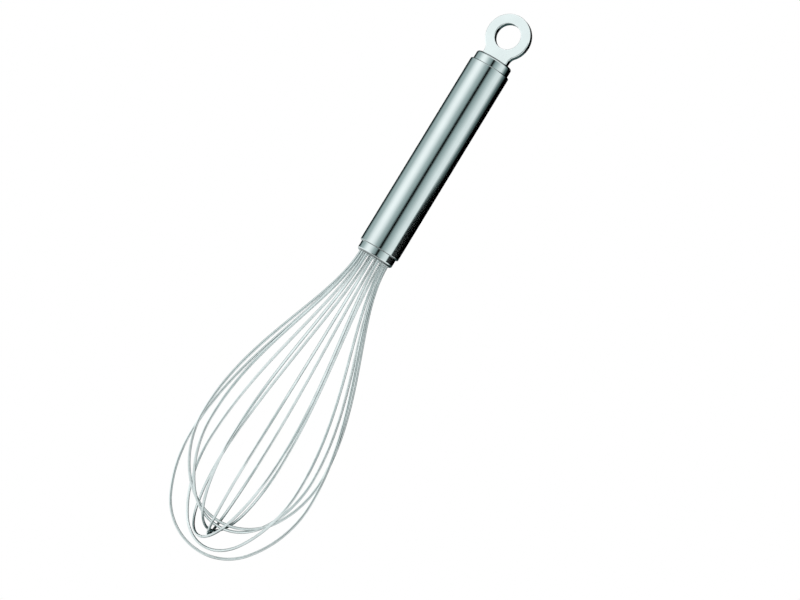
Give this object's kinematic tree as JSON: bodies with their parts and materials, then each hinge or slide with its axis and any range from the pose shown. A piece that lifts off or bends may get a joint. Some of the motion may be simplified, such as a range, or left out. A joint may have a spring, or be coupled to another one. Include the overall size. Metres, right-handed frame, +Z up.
{
  "type": "balloon whisk",
  "caption": "Steel balloon whisk: nested crossed wire loops in a tubular handle with stepped end collars and a flat hanging ring.",
  "frame": {"origin": "centre of the hole in the hanging ring, on the mid plane of its plate", "axes": "+Z up along the handle, away from the wires; Y square to the ring's plate; X across the plate"},
  "size_m": [0.0621, 0.0628, 0.2693],
  "materials": {
    "spring_wire": "bright drawn stainless wire",
    "sleeve_steel": "fine satin stainless steel, brushed round the tube",
    "collar_steel": "turned and polished stainless steel",
    "ring_steel": "tumbled satin stainless steel",
    "inner_steel": "plain stainless steel, hidden",
    "resin": "cast resin, hidden"
  },
  "bodies": {
    "root": {"wire_loop_1": "spring_wire", "wire_loop_2": "spring_wire", "wire_loop_3": "spring_wire", "wire_loop_4": "spring_wire", "wire_loop_5": "spring_wire", "wire_loop_6": "spring_wire", "wire_loop_7": "spring_wire", "handle_sleeve": "sleeve_steel", "wire_collar": "collar_steel", "ring_collar": "collar_steel", "hanging_ring": "ring_steel", "clamp_plate": "inner_steel", "tang_pin": "inner_steel", "sealing_plug": "resin"}
  },
  "joints": []
}
